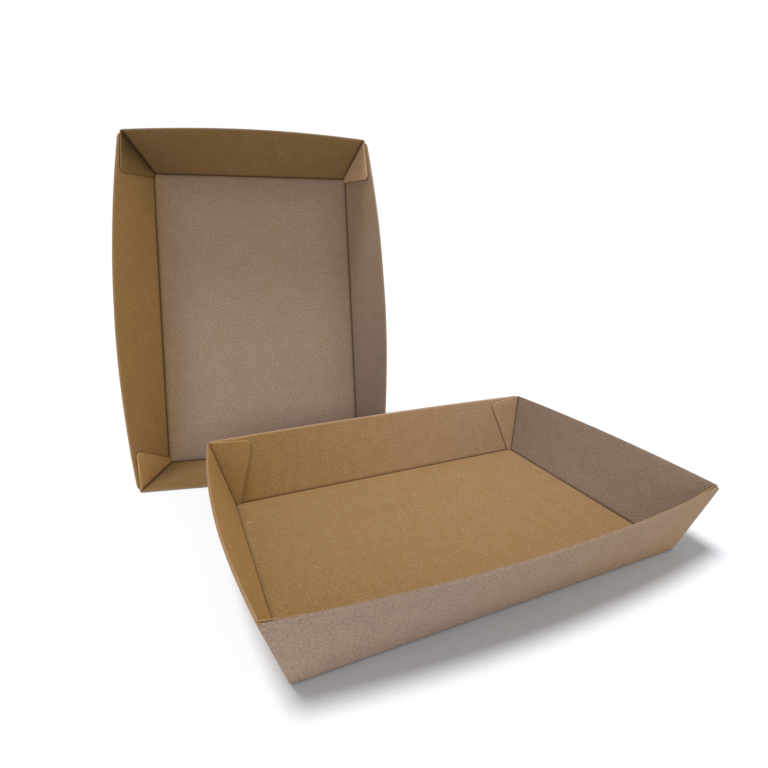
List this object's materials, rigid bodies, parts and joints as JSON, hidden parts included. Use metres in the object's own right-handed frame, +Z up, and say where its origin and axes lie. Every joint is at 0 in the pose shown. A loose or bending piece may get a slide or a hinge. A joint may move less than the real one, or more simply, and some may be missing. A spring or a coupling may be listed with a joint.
{
  "type": "pair of cardboard trays",
  "caption": "Shallow kraft board trays with flaring walls and glued corner tabs, one lying flat and one stood on its end behind it.",
  "frame": {"origin": "on the ground, under the middle of the common box of both trays", "axes": "+X along the lying tray's long side, +Y from the lying tray towards the standing one, +Z up"},
  "size_m": [0.3066, 0.3202, 0.2472],
  "materials": {
    "kraft_board": "matte kraft liner"
  },
  "bodies": {
    "root": {"lying_tray": "kraft_board", "standing_tray": "kraft_board"}
  },
  "joints": []
}
